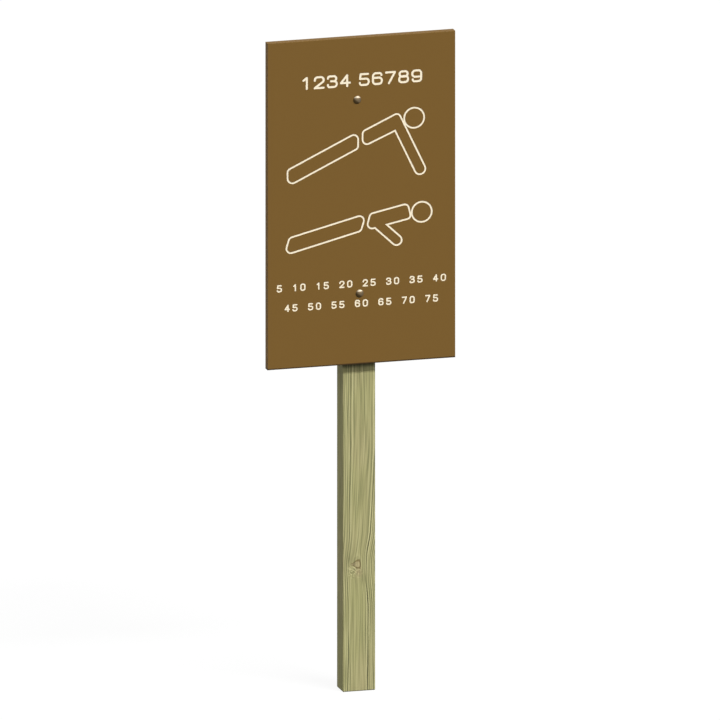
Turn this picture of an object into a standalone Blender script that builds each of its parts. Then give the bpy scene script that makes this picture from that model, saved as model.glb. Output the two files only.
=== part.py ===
"""A fitness-trail sign: an engraved board held to the front of a timber post by two coach bolts.

Metres, +Z up. The origin is the centre of the post's foot, at ground level. The sign faces -Y.
"""
import math

import bmesh
import bpy
import numpy as np
from mathutils import Vector

MM = 0.001

# The gap kept between two pieces that touch, and between a bolt and its hole.
FIT = 0.3 * MM

# Post: planed, pressure-treated pine, cut flat at both ends.
POST_WIDTH = 70 * MM
POST_DEPTH = 47 * MM
POST_TOP_BELOW_BOARD_TOP = 30 * MM
POST_EDGE_RADIUS = 2 * MM

# Board: one solid-coloured sheet.
BOARD_WIDTH = 404 * MM
BOARD_HEIGHT = 700 * MM
BOARD_THICKNESS = 18 * MM
BOARD_BOTTOM = 706 * MM
BOARD_EDGE_RADIUS = 0.8 * MM

# Engraving: a routed line and the cream infill that lies in it.
LINE_WIDTH = 3.5 * MM
GROOVE_DEPTH = 1.6 * MM
INFILL_RECESS = 0.3 * MM

# Coach bolts, with a square neck under the domed head.
BOLT_DIAMETER = 6 * MM
HEAD_DIAMETER = 16.6 * MM
HEAD_HEIGHT = 3.8 * MM
HEAD_RIM = 0.5 * MM
NECK_WIDTH = 6.5 * MM
NECK_LENGTH = 4.6 * MM
BOLT_END_PAST_NUT = 6.8 * MM
BOLT_END_CHAMFER = 0.7 * MM
UPPER_BOLT_BELOW_BOARD_TOP = 133.5 * MM
UPPER_BOLT_LEFT_OF_CENTRE = 9.2 * MM
LOWER_BOLT_ABOVE_BOARD_BOTTOM = 151.3 * MM
LOWER_BOLT_LEFT_OF_CENTRE = 4 * MM

# Washers and nuts behind the post.
WASHER_DIAMETER = 22 * MM
WASHER_THICKNESS = 2 * MM
NUT_WIDTH = 10 * MM
NUT_HEIGHT = 5 * MM
NUT_CHAMFER = 0.6 * MM
NUT_CHAMFER_DEGREES = 30

# Figures. Each outline is the middle of its line: corners as (right, up, corner radius) in millimetres,
# counted from the board's centre line and from the figure's hip. A head is a circle whose line runs a little
# into the trunk's line, at a point (right, up) and in a direction (degrees above level).
UPPER_HIP_BELOW_BOARD_TOP = 220 * MM
LOWER_HIP_BELOW_UPPER_HIP = 177 * MM
HEAD_LINE_RADIUS = 21.5 * MM
HEAD_LINE_OVERLAP = 0.5 * MM
UPPER_LEGS = [(-159, -89, 11), (-7, -17.5, 9), (-7, 17.5, 10), (-159, -54, 8)]
UPPER_TRUNK_AND_ARM = [
    (2.5, -15, 10), (72.5, 15, 0), (120.5, -86, 11.5), (141.5, -76, 11.5), (80, 53.2, 9), (2.5, 18, 9),
]
UPPER_HEAD = (91.4, 29.2, 25.4)
LOWER_LEGS = [(-166, -59, 10), (-1, -18, 9), (10, 18, 10), (-155, -22.5, 9)]
LOWER_TRUNK_AND_ARM = [
    (9.5, -17.5, 10), (29, -13.5, 0), (76.5, -58, 10.6), (91, -42.4, 10.6),
    (54.5, -8.3, 0), (107.4, 2.5, 8), (99.7, 34, 9), (19, 17.3, 9),
]
LOWER_HEAD = (106, 8.2, 13.7)

# How finely round shapes are cut into flats.
CORNER_STEPS = 7
CIRCLE_STEPS = 40
BOLT_STEPS = 32
DOME_STEPS = 8

# Places worked out from the sizes above.
BOARD_TOP = BOARD_BOTTOM + BOARD_HEIGHT
POST_HEIGHT = BOARD_TOP - POST_TOP_BELOW_BOARD_TOP
POST_FRONT = -POST_DEPTH / 2
POST_BACK = POST_DEPTH / 2
BOARD_BACK = POST_FRONT - FIT
BOARD_FRONT = BOARD_BACK - BOARD_THICKNESS
HEAD_SEAT = BOARD_FRONT - FIT
WASHER_FRONT = POST_BACK + FIT
NUT_FRONT = WASHER_FRONT + WASHER_THICKNESS + FIT
BOLT_END = NUT_FRONT + NUT_HEIGHT + BOLT_END_PAST_NUT
HOLE_DIAMETER = BOLT_DIAMETER + 2 * FIT
GROOVE_WIDTH = LINE_WIDTH + 2 * FIT
GROOVE_FLOOR = BOARD_FRONT + GROOVE_DEPTH
BOLTS = {
    "upper": (-UPPER_BOLT_LEFT_OF_CENTRE, BOARD_TOP - UPPER_BOLT_BELOW_BOARD_TOP),
    "lower": (-LOWER_BOLT_LEFT_OF_CENTRE, BOARD_BOTTOM + LOWER_BOLT_ABOVE_BOARD_BOTTOM),
}
UPPER_HIP = BOARD_TOP - UPPER_HIP_BELOW_BOARD_TOP
FIGURES = {
    "upper": (UPPER_HIP, UPPER_TRUNK_AND_ARM, UPPER_HEAD, UPPER_LEGS),
    "lower": (UPPER_HIP - LOWER_HIP_BELOW_UPPER_HIP, LOWER_TRUNK_AND_ARM, LOWER_HEAD, LOWER_LEGS),
}

for old in list(bpy.data.objects):
    bpy.data.objects.remove(old, do_unlink=True)


def material(name, colour, roughness, metallic=0.0):
    """A Principled material with one colour."""
    made = bpy.data.materials.new(name)
    made.use_nodes = True
    shader = made.node_tree.nodes["Principled BSDF"]
    shader.inputs["Base Color"].default_value = (*colour, 1.0)
    shader.inputs["Roughness"].default_value = roughness
    shader.inputs["Metallic"].default_value = metallic
    return made


TIMBER = material("treated_pine", (0.38, 0.36, 0.17), 0.8)
BOARD_COLOUR = material("board_brown", (0.195, 0.112, 0.030), 0.55)
CREAM = material("infill_cream", (0.90, 0.82, 0.62), 0.5)
STEEL = material("galvanised_steel", (0.55, 0.54, 0.52), 0.4, 1.0)


def solid(name, bm, finish):
    """Turns a bmesh into an object with outward faces."""
    bmesh.ops.recalc_face_normals(bm, faces=bm.faces)
    mesh = bpy.data.meshes.new(name)
    bm.to_mesh(mesh)
    bm.free()
    mesh.materials.append(finish)
    made = bpy.data.objects.new(name, mesh)
    bpy.context.scene.collection.objects.link(made)
    return made


def tool(made):
    """Marks an object as a cutter, which isn't a piece of the sign."""
    made.hide_render = True
    made.display_type = "WIRE"
    return made


def boolean(target, other, operation):
    """Adds a Boolean that reads another object."""
    step = target.modifiers.new(f"{operation.lower()}_{other.name}", "BOOLEAN")
    step.operation = operation
    step.object = other


def box(name, low, high, finish):
    """A box between two corners."""
    bm = bmesh.new()
    bmesh.ops.create_cube(bm, size=1.0)
    middle = (Vector(low) + Vector(high)) / 2
    size = Vector(high) - Vector(low)
    for vertex in bm.verts:
        vertex.co = Vector(c * s for c, s in zip(vertex.co, size)) + middle
    return solid(name, bm, finish)


def ease_edges(made, radius):
    """Rounds every edge of a box."""
    step = made.modifiers.new("eased_edges", "BEVEL")
    step.width = radius
    step.segments = 3


def thicken(bm, faces, depth):
    """Extrudes flat faces along Y into a closed body."""
    moved = bmesh.ops.extrude_face_region(bm, geom=faces)["geom"]
    ends = [part for part in moved if isinstance(part, bmesh.types.BMVert)]
    bmesh.ops.translate(bm, verts=ends, vec=(0, depth, 0))


def rod(name, x, z, start, end, diameter, steps, finish):
    """A straight rod along Y, with as many flats round it as it has steps."""
    bm = bmesh.new()
    ring = []
    for k in range(steps):
        angle = math.tau * k / steps
        across = x + diameter / 2 * math.cos(angle)
        ring.append(bm.verts.new((across, start, z + diameter / 2 * math.sin(angle))))
    thicken(bm, [bm.faces.new(ring)], end - start)
    return solid(name, bm, finish)


def turned(name, x, z, profile, finish):
    """A piece turned about an axis along Y, from (radius, y) points that start and end on the axis."""
    bm = bmesh.new()
    points = [bm.verts.new((x + radius, y, z)) for radius, y in profile]
    edges = [bm.edges.new(pair) for pair in zip(points, points[1:])]
    bmesh.ops.spin(
        bm, geom=points + edges, cent=(x, 0, z), axis=(0, 1, 0), angle=math.tau, steps=BOLT_STEPS, use_merge=True
    )
    bmesh.ops.remove_doubles(bm, verts=bm.verts, dist=0.01 * MM)
    return solid(name, bm, finish)


def rounded_outline(corners, hip):
    """A closed outline whose corners are arcs, with the outward normal at each of its points.

    An arc touches both straight sides that meet at its corner. A corner of radius 0 stays one point, and its
    normal is longer than 1, so that a line drawn beside the outline keeps its distance from both sides.
    """
    places = np.array([(right * MM, hip + up * MM) for right, up, _ in corners])
    points = []
    normals = []
    for k, (_, _, radius) in enumerate(corners):
        corner = places[k]
        before = places[k - 1] - corner
        after = places[(k + 1) % len(corners)] - corner
        before = before / np.linalg.norm(before)
        after = after / np.linalg.norm(after)
        half_angle = math.acos(float(before @ after)) / 2
        inward = (before + after) / np.linalg.norm(before + after)
        side = 1.0 if before[0] * after[1] - before[1] * after[0] < 0 else -1.0
        if radius == 0:
            points.append(corner)
            normals.append(-side * inward / math.sin(half_angle))
            continue
        centre = corner + inward * radius * MM / math.sin(half_angle)
        first = (corner + before * radius * MM / math.tan(half_angle) - centre) / (radius * MM)
        for angle in np.linspace(0, side * (math.pi - 2 * half_angle), CORNER_STEPS + 1):
            spoke = first @ np.array([[math.cos(angle), math.sin(angle)], [-math.sin(angle), math.cos(angle)]])
            points.append(centre + spoke * radius * MM)
            normals.append(side * spoke)
    return np.array(points), np.array(normals)


def head_outline(contact, hip):
    """The head: a circle that stands off its contact point by its radius and one line's width, less the overlap."""
    right, up, degrees = contact
    away = np.array([math.cos(math.radians(degrees)), math.sin(math.radians(degrees))])
    reach = HEAD_LINE_RADIUS + LINE_WIDTH - HEAD_LINE_OVERLAP
    centre = np.array([right * MM, hip + up * MM]) + away * reach
    angles = np.arange(CIRCLE_STEPS) * math.tau / CIRCLE_STEPS
    spokes = np.column_stack([np.cos(angles), np.sin(angles)])
    return centre + spokes * HEAD_LINE_RADIUS, spokes


def ring_bar(name, outline, width, front, back, finish):
    """A flat bar that follows a closed outline, between two depths."""
    points, normals = outline
    bm = bmesh.new()
    outer = [bm.verts.new((x, front, z)) for x, z in points + normals * width / 2]
    inner = [bm.verts.new((x, front, z)) for x, z in points - normals * width / 2]
    faces = []
    for k in range(len(points)):
        faces.append(bm.faces.new((outer[k - 1], outer[k], inner[k], inner[k - 1])))
    thicken(bm, faces, back - front)
    return solid(name, bm, finish)


def make_post():
    """The timber post, drilled for both bolts."""
    post = box("post", (-POST_WIDTH / 2, POST_FRONT, 0), (POST_WIDTH / 2, POST_BACK, POST_HEIGHT), TIMBER)
    ease_edges(post, POST_EDGE_RADIUS)
    return post


def make_board():
    """The board, before its holes and grooves."""
    low = (-BOARD_WIDTH / 2, BOARD_FRONT, BOARD_BOTTOM)
    high = (BOARD_WIDTH / 2, BOARD_BACK, BOARD_TOP)
    board = box("board", low, high, BOARD_COLOUR)
    ease_edges(board, BOARD_EDGE_RADIUS)
    return board


def drill(target, place, x, z):
    """A round bolt hole right through a piece."""
    past = BOARD_THICKNESS + POST_DEPTH
    hole = rod(f"{target.name}_{place}_hole", x, z, -past, past, HOLE_DIAMETER, BOLT_STEPS, STEEL)
    boolean(target, tool(hole), "DIFFERENCE")


def cut_neck_pocket(board, place, x, z):
    """The square pocket that stops the bolt's neck from turning."""
    half = NECK_WIDTH / 2 + FIT
    deep = HEAD_SEAT + NECK_LENGTH + FIT
    low = (x - half, BOARD_FRONT - HEAD_HEIGHT, z - half)
    pocket = box(f"{place}_neck_pocket", low, (x + half, deep, z + half), STEEL)
    boolean(board, tool(pocket), "DIFFERENCE")


def head_profile():
    """The bolt's side view: a low dome on a thin rim, then the shank with its chamfered end."""
    radius = HEAD_DIAMETER / 2
    crown = HEAD_HEIGHT - HEAD_RIM
    sphere = (radius**2 + crown**2) / (2 * crown)
    widest = math.asin(radius / sphere)
    top = HEAD_SEAT - HEAD_HEIGHT
    dome = []
    for k in range(DOME_STEPS + 1):
        angle = widest * k / DOME_STEPS
        dome.append((sphere * math.sin(angle), top + sphere * (1 - math.cos(angle))))
    shank = BOLT_DIAMETER / 2
    return [
        *dome,
        (radius, HEAD_SEAT),
        (shank, HEAD_SEAT),
        (shank, BOLT_END - BOLT_END_CHAMFER),
        (shank - BOLT_END_CHAMFER, BOLT_END),
        (0, BOLT_END),
    ]


def make_bolt(place, x, z):
    """A coach bolt: the turned body joined to its square neck."""
    bolt = turned(f"{place}_bolt", x, z, head_profile(), STEEL)
    half = NECK_WIDTH / 2
    overlap = HEAD_RIM / 2
    neck_low = (x - half, HEAD_SEAT - overlap, z - half)
    neck = box(f"{place}_neck", neck_low, (x + half, HEAD_SEAT + NECK_LENGTH, z + half), STEEL)
    boolean(bolt, tool(neck), "UNION")


def bore(target, x, z):
    """The hole in a washer or a nut."""
    hole = rod(f"{target.name}_bore", x, z, 0, BOLT_END + NUT_HEIGHT, HOLE_DIAMETER, BOLT_STEPS, STEEL)
    boolean(target, tool(hole), "DIFFERENCE")


def make_washer(place, x, z):
    """A flat round washer."""
    end = WASHER_FRONT + WASHER_THICKNESS
    washer = rod(f"{place}_washer", x, z, WASHER_FRONT, end, WASHER_DIAMETER, BOLT_STEPS, STEEL)
    bore(washer, x, z)


def make_nut(place, x, z):
    """A hexagon nut: six flats whose corners are turned down at both faces."""
    corners = NUT_WIDTH / math.cos(math.pi / 6)
    back = NUT_FRONT + NUT_HEIGHT
    nut = rod(f"{place}_nut", x, z, NUT_FRONT, back, corners, 6, STEEL)
    face = NUT_WIDTH / 2 - NUT_CHAMFER / 4
    past_corners = face + NUT_CHAMFER / math.tan(math.radians(NUT_CHAMFER_DEGREES))
    profile = [
        (0, NUT_FRONT - FIT),
        (face, NUT_FRONT - FIT),
        (face, NUT_FRONT),
        (past_corners, NUT_FRONT + NUT_CHAMFER),
        (past_corners, back - NUT_CHAMFER),
        (face, back),
        (face, back + FIT),
        (0, back + FIT),
    ]
    boolean(nut, tool(turned(f"{place}_nut_corners", x, z, profile, STEEL)), "INTERSECT")
    bore(nut, x, z)


def engrave(board, name, outlines):
    """Cuts a groove along the outlines, which run into each other, and lays one body of infill in it."""
    before_face = BOARD_FRONT - GROOVE_DEPTH
    infill_front = BOARD_FRONT + INFILL_RECESS
    infill_back = GROOVE_FLOOR - FIT
    for k, outline in enumerate(outlines):
        groove = ring_bar(f"{name}_groove_{k}", outline, GROOVE_WIDTH, before_face, GROOVE_FLOOR, CREAM)
        boolean(board, tool(groove), "DIFFERENCE")
    infill = ring_bar(name, outlines[0], LINE_WIDTH, infill_front, infill_back, CREAM)
    for k, outline in enumerate(outlines[1:]):
        more = ring_bar(f"{name}_more_{k}", outline, LINE_WIDTH, infill_front, infill_back, CREAM)
        boolean(infill, tool(more), "UNION")


post = make_post()
board = make_board()
for place, (x, z) in BOLTS.items():
    drill(post, place, x, z)
    drill(board, place, x, z)
    cut_neck_pocket(board, place, x, z)
    make_bolt(place, x, z)
    make_washer(place, x, z)
    make_nut(place, x, z)
for place, (hip, trunk, head, legs) in FIGURES.items():
    engrave(board, f"{place}_body_line", [rounded_outline(trunk, hip), head_outline(head, hip)])
    engrave(board, f"{place}_leg_line", [rounded_outline(legs, hip)])

for made in bpy.context.scene.objects:
    if "bolt" in made.name or "washer" in made.name:
        made.data.shade_smooth()
        made.data.set_sharp_from_angle(angle=math.radians(40))
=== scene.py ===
# %% [markdown]
# # A fitness-trail sign
#
# The sign stands beside an exercise trail. It is one brown board, held to the front of a timber post by two
# coach bolts. Two figures and three rows of numbers are cut into its face, and the cuts are filled with
# cream paint.
#
# The sizes and places of the pieces come from a CAD model, which is loaded here as a fixed frame. This
# notebook gives each piece the finer surface and the finish that the real one shows. Everything is in
# metres, Z is up, and the sign faces -Y.

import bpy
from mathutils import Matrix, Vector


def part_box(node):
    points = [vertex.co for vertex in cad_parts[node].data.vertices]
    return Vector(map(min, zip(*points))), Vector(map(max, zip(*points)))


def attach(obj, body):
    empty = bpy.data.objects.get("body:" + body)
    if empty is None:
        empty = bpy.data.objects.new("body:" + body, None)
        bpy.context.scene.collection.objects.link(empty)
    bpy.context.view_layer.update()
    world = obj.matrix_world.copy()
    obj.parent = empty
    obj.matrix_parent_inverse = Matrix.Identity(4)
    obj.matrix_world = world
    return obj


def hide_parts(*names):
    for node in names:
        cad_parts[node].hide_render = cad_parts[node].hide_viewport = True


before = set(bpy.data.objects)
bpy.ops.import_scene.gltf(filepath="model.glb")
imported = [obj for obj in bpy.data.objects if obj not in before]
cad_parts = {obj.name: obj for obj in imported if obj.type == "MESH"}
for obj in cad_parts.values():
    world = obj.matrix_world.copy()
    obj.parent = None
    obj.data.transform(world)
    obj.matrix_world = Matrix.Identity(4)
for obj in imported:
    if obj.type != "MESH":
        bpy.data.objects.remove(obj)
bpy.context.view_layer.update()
print("nodes in the frame:", ", ".join(sorted(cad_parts)))

# %% Modules and units
import math

import bmesh
import bpy
import numpy as np
from mathutils import Matrix, Vector

MM = 0.001

# %% [markdown]
# ## Where the pieces are
#
# Each new piece has to sit where its CAD solid does. Typed numbers would drift from the frame as soon as a
# size changed, so each place that a solid can give is read from that solid's box.


# %% Read places from the frame
def corners_of(node_name):
    """The lowest and the highest corner of a CAD node, as arrays."""
    low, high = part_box(node_name)
    return np.array(low), np.array(high)


board_low, board_high = corners_of("board")
post_low, post_high = corners_of("post")
board_middle = (board_low + board_high) / 2
board_front = board_low[1]
board_back = board_high[1]
print(f"board front at y {board_front:.4f}, back at y {board_back:.4f}")

# %% Bolt places
bolt_places = {}
for place in ("upper", "lower"):
    low, high = corners_of(f"{place}_bolt")
    bolt_places[place] = ((low[0] + high[0]) / 2, (low[2] + high[2]) / 2)
    print(f"{place} bolt at x {bolt_places[place][0]:.4f}, z {bolt_places[place][1]:.4f}")

# %% [markdown]
# ## From arrays to meshes
#
# Every new surface here is a grid of points worked out with numpy: one index runs along the piece, the other
# runs round it. Blender's own primitives could be bent into these shapes by hand, but a grid lets a formula
# say what the shape is.
#
# The helpers number the faces between neighbouring points, put points and faces into a mesh, and take a mesh
# apart again.


# %% Faces of a grid
def grid_faces(rows, columns, wrap_rows, wrap_columns=True):
    """Faces between the neighbours of a grid whose point (i, j) has the index i * columns + j.

    Each face takes (i, j), (i, j + 1), (i + 1, j + 1) and (i + 1, j). Where the grid wraps, the neighbour of
    the last row or column is the first one.
    """
    i, j = np.meshgrid(
        np.arange(rows if wrap_rows else rows - 1),
        np.arange(columns if wrap_columns else columns - 1),
        indexing="ij",
    )
    here = i * columns
    below = (i + 1) % rows * columns
    beside = (j + 1) % columns
    quads = np.stack([here + j, here + beside, below + beside, below + j], -1)
    return quads.reshape(-1, 4)


# %% Points and faces into an object
MERGE = 0.0002 * MM


def make_object(name, points, faces):
    """A mesh object from points and faces. Points in one place are joined, and faces turned outwards."""
    mesh = bpy.data.meshes.new(name)
    mesh.from_pydata(np.asarray(points).tolist(), [], [list(map(int, face)) for face in faces])
    bm = bmesh.new()
    bm.from_mesh(mesh)
    bmesh.ops.remove_doubles(bm, verts=bm.verts, dist=MERGE)
    bmesh.ops.recalc_face_normals(bm, faces=bm.faces)
    open_edges = sum(not edge.is_manifold for edge in bm.edges)
    bm.to_mesh(mesh)
    bm.free()
    made = bpy.data.objects.new(name, mesh)
    bpy.context.scene.collection.objects.link(made)
    print(f"{name}: {len(mesh.polygons)} faces, {open_edges} open edges")
    return made


def taken_apart(made):
    """Points and faces of a mesh object, which is then removed."""
    points = np.array([point.co for point in made.data.vertices])
    faces = [list(face.vertices) for face in made.data.polygons]
    bpy.data.objects.remove(made)
    return points, faces


# %% Several grids as one set of points and faces
def joined(parts):
    """Points and faces of several (points, faces) parts, with each part's numbers moved past those before."""
    starts = np.cumsum([0] + [len(points) for points, _ in parts]).tolist()
    faces = []
    for start, (_, own) in zip(starts, parts):
        faces += [[start + corner for corner in face] for face in own]
    return np.concatenate([points for points, _ in parts]), faces


# %% [markdown]
# ## Lines with rounded corners
#
# A routing machine draws each figure and each number with one round cutter, which follows a line. So a
# drawing is kept as lines only: corners, each with the radius of its bend. Bezier curves would do too, but a
# corner with a radius is how such a drawing is dimensioned, and its offset lines are exact arcs.


# %% Corners to points
ARC_STEPS = 8


def unit(vectors):
    """Vectors of length 1."""
    return vectors / np.linalg.norm(vectors, axis=-1, keepdims=True)


def turned_by(vectors, angles):
    """Flat vectors turned anticlockwise by angles: (x cos - y sin, x sin + y cos)."""
    x, y = vectors[..., 0], vectors[..., 1]
    return np.stack([x * np.cos(angles) - y * np.sin(angles), x * np.sin(angles) + y * np.cos(angles)], -1)


def rounded_line(corners):
    """Points along a line with rounded corners, the direction to its left at each, and if it is closed.

    Corners are (right, up, radius). A line that starts with a bend is closed. A bend's centre lies on the
    line that halves its corner, at radius over the sine of half the corner's angle. Across the bend, the left
    direction turns evenly, and a point is the centre plus or minus radius times it. A corner of radius 0
    keeps one point. Its direction is the halving line, longer by 1 over the same sine, so that both offset
    lines keep their distance.
    """
    corners = np.array(corners, float)
    closed = corners[0, 2] > 0
    spots = corners[:, :2]
    back = unit(np.roll(spots, 1, 0) - spots)
    ahead = unit(np.roll(spots, -1, 0) - spots)
    bends = slice(None) if closed else slice(1, -1)
    spot, radius, back, ahead = spots[bends], corners[bends, 2:], back[bends], ahead[bends]
    half = np.arccos(np.clip(np.sum(back * ahead, -1, keepdims=True), -1, 1)) / 2
    side = np.sign(back[:, 1:] * ahead[:, :1] - back[:, :1] * ahead[:, 1:])
    halving = unit(back + ahead)
    angles = side * (np.pi - 2 * half) * np.linspace(0, 1, ARC_STEPS + 1)
    left = turned_by(turned_by(-back, np.pi / 2)[:, None, :], angles)
    centre = spot + halving * radius / np.sin(half)
    points = centre[:, None, :] - (side * radius)[:, None, :] * left
    sharp = (radius == 0)[:, None, :]
    left = np.where(sharp, (side * halving / np.sin(half))[:, None, :], left).reshape(-1, 2)
    points = np.where(sharp, spot[:, None, :], points).reshape(-1, 2)
    if closed:
        return points, left, closed
    ends = turned_by(unit(spots[[1, -1]] - spots[[0, -2]]), np.pi / 2)
    points = np.concatenate([spots[:1], points, spots[-1:]])
    return points, np.concatenate([ends[:1], left, ends[1:]]), closed


# %% A full circle in the same form
CIRCLE_STEPS = 72


def round_angles(steps):
    """Even angles of one full turn."""
    return np.arange(steps) * 2 * np.pi / steps


def circle_line(centre, radius):
    """Points round a circle, the direction from its middle at each point, and that it is closed."""
    angles = round_angles(CIRCLE_STEPS)
    spokes = np.stack([np.cos(angles), np.sin(angles)], -1)
    return centre + spokes * radius, spokes, True


# %% [markdown]
# ## Carrying a section along a line
#
# A routed line has the same section everywhere, and a round end. Blender can bevel a curve with a section,
# but its ends are cut square. Here half of the section, from the line's middle outwards, is carried round the
# line: out along its left side, round the end, and back along its right side. At the end it turns on the
# spot, as the cutter does. On a closed line it goes round each side on its own.

# %% The stations of a half section
END_STEPS = 10


def stations(points, left, closed):
    """Loops of (middle points, outward directions) that a half section visits along a line."""
    if closed:
        return [(points, left), (points, -left)]
    turns = -np.linspace(0, np.pi, END_STEPS + 1)[1:-1]
    far_end = turned_by(left[-1:], turns)
    near_end = turned_by(-left[:1], turns)
    at_end = np.repeat(points[-1:], len(turns), 0)
    at_start = np.repeat(points[:1], len(turns), 0)
    middles = [points, at_end, points[::-1], at_start]
    outwards = [left, far_end, -left[::-1], near_end]
    return [(np.concatenate(middles), np.concatenate(outwards))]


# %% The solid that a half section leaves
def carried(line, section):
    """Points and faces of the solid that a half section leaves along a flat line.

    The section is rows of (distance from the middle of the line, y). A point of the solid is the station's
    middle plus its outward direction times that distance, at that y. Each loop of stations gives one grid,
    and the grids meet along the middle of the line.
    """
    grids = []
    for middles, outwards in stations(*line):
        flat = middles[:, None, :] + outwards[:, None, :] * section[None, :, :1]
        y = np.broadcast_to(section[None, :, 1], flat.shape[:2])
        grid = np.stack([flat[..., 0], y, flat[..., 1]], -1)
        faces = grid_faces(*grid.shape[:2], wrap_rows=True, wrap_columns=False)
        grids.append((grid.reshape(-1, 3), faces))
    return joined(grids)


# %% [markdown]
# ## Where strokes run into each other
#
# A number such as 4 takes more than one stroke, and the cutter passes through its earlier cut. As meshes,
# those strokes would lie inside each other. A Boolean that keeps what is inside a large block, and looks at
# crossings within the mesh, turns them into one skin.


# %% Apply a Boolean for good
def keep_result(made):
    """Replaces an object's mesh by the mesh that its modifiers give, and removes the modifiers."""
    bpy.context.view_layer.update()
    evaluated = made.evaluated_get(bpy.context.evaluated_depsgraph_get())
    old = made.data
    made.data = bpy.data.meshes.new_from_object(evaluated)
    made.data.name = made.name
    made.modifiers.clear()
    bpy.data.meshes.remove(old)


def boolean(made, other, operation, crossings=False):
    """Cuts or keeps a mesh by another, which is then removed."""
    step = made.modifiers.new("boolean", "BOOLEAN")
    step.operation = operation
    step.object = other
    step.solver = "EXACT"
    step.use_self = crossings
    keep_result(made)
    bpy.data.objects.remove(other)


# %% A block that is larger than a mesh
def block_round(points, margin):
    """A box round an array of points, as an object."""
    low, high = points.min(0) - margin, points.max(0) + margin
    signs = np.array([[i, j, k] for i in (0, 1) for j in (0, 1) for k in (0, 1)])
    corners = low + signs * (high - low)
    sides = [(0, 1, 3, 2), (4, 6, 7, 5), (0, 4, 5, 1), (2, 3, 7, 6), (0, 2, 6, 4), (1, 5, 7, 3)]
    return make_object("block", corners, sides)


# %% One skin from strokes that cross
def one_skin(name, lines, section):
    """Points and faces of a section carried along several lines, joined into one skin."""
    points, faces = joined([carried(line, section) for line in lines])
    made = make_object(name, points, faces)
    boolean(made, block_round(points, 1 * MM), "INTERSECT", crossings=True)
    return taken_apart(made)


# %% [markdown]
# ## The sections of a groove and of its paint
#
# The groove has upright walls, a flat floor and a mouth that is broken by a tiny bevel, because a sharp
# mouth would chip. The paint is poured in as a liquid. It clings to the walls and sags a little in the
# middle, so its top is slightly hollow, and it lies just below the face of the board.

# %% Half sections, from the middle outwards
GROOVE_DEPTH = 1.6 * MM
MOUTH_BEVEL = 0.25 * MM
PAINT_RECESS = 0.3 * MM
PAINT_SAG = 0.12 * MM
PAINT_FLOOR_GAP = 0.1 * MM
ABOVE_FACE = 1 * MM


def groove_section(width):
    """The cutter: from above the face, down past the bevelled mouth, to the floor. Rows are (distance, y)."""
    half = width / 2
    past = 0.2 * MM
    rows = [
        (0, -ABOVE_FACE),
        (half + MOUTH_BEVEL + past, -ABOVE_FACE),
        (half + MOUTH_BEVEL + past, -past),
        (half, MOUTH_BEVEL),
        (half, GROOVE_DEPTH),
        (0, GROOVE_DEPTH),
    ]
    return np.array(rows) + [0, board_front]


def paint_section(width):
    """The paint: its top is a parabola, deepest in the middle, and its sides touch the walls."""
    half = width / 2
    across = np.linspace(0, 1, 5)
    top = PAINT_RECESS + PAINT_SAG * (1 - across**2)
    floor = GROOVE_DEPTH - PAINT_FLOOR_GAP
    rows = [*zip(across * half, top), (half, floor), (0, floor)]
    return np.array(rows) + [0, board_front]


# %% [markdown]
# ## The two figures
#
# The board shows the two halves of a press-up: arms straight, and arms bent. Each figure is three closed
# lines: one round the legs, one round the trunk and the arm, and a circle for the head, which runs a little
# into the line of the trunk. The corners are counted in millimetres from the hip.

# %% Corners of the figures
LINE_WIDTH = 3.5 * MM
HEAD_RADIUS = 21.5
HEAD_STAND_OFF = 24.5
FIGURE_HIPS = {"upper": board_high[2] - 220 * MM, "lower": board_high[2] - 397 * MM}
LEGS = {
    "upper": [(-159, -89, 11), (-7, -17.5, 9), (-7, 17.5, 10), (-159, -54, 8)],
    "lower": [(-166, -59, 10), (-1, -18, 9), (10, 18, 10), (-155, -22.5, 9)],
}
TRUNKS = {
    "upper": [
        (2.5, -15, 10), (72.5, 15, 0), (120.5, -86, 11.5),
        (141.5, -76, 11.5), (80, 53.2, 9), (2.5, 18, 9),
    ],
    "lower": [
        (9.5, -17.5, 10), (29, -13.5, 0), (76.5, -58, 10.6), (91, -42.4, 10.6),
        (54.5, -8.3, 0), (107.4, 2.5, 8), (99.7, 34, 9), (19, 17.3, 9),
    ],
}
HEADS = {"upper": (91.4, 29.2, 25.4), "lower": (106, 8.2, 13.7)}


# %% Lines of the figures
def placed(line, across, up):
    """A line in millimetres, moved and in metres."""
    points, left, closed = line
    return points * MM + [across, up], left, closed


def head_line(contact):
    """The head's circle: its middle stands off from a contact point along a direction, in degrees."""
    right, up, degrees = contact
    away = turned_by(np.array([HEAD_STAND_OFF, 0]), math.radians(degrees))
    return circle_line([right, up] + away, HEAD_RADIUS)


figure_lines = {}
for place, hip in FIGURE_HIPS.items():
    body = [rounded_line(TRUNKS[place]), head_line(HEADS[place])]
    figure_lines[f"{place}_body"] = [placed(line, board_middle[0], hip) for line in body]
    figure_lines[f"{place}_leg"] = [placed(rounded_line(LEGS[place]), board_middle[0], hip)]
print("figure parts:", ", ".join(figure_lines))

# %% [markdown]
# ## The numbers
#
# Above and below the figures the board carries plain counts. A font could supply them, but an engraver's
# numeral is a line with round ends and one width, so each digit is drawn as the figures are: strokes with
# rounded corners, in a box 1 wide and 1 high. A radius of 1 is the largest that fits the digit. Where a real
# cutter would turn on the spot, one stroke ends and the next one starts.

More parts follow.
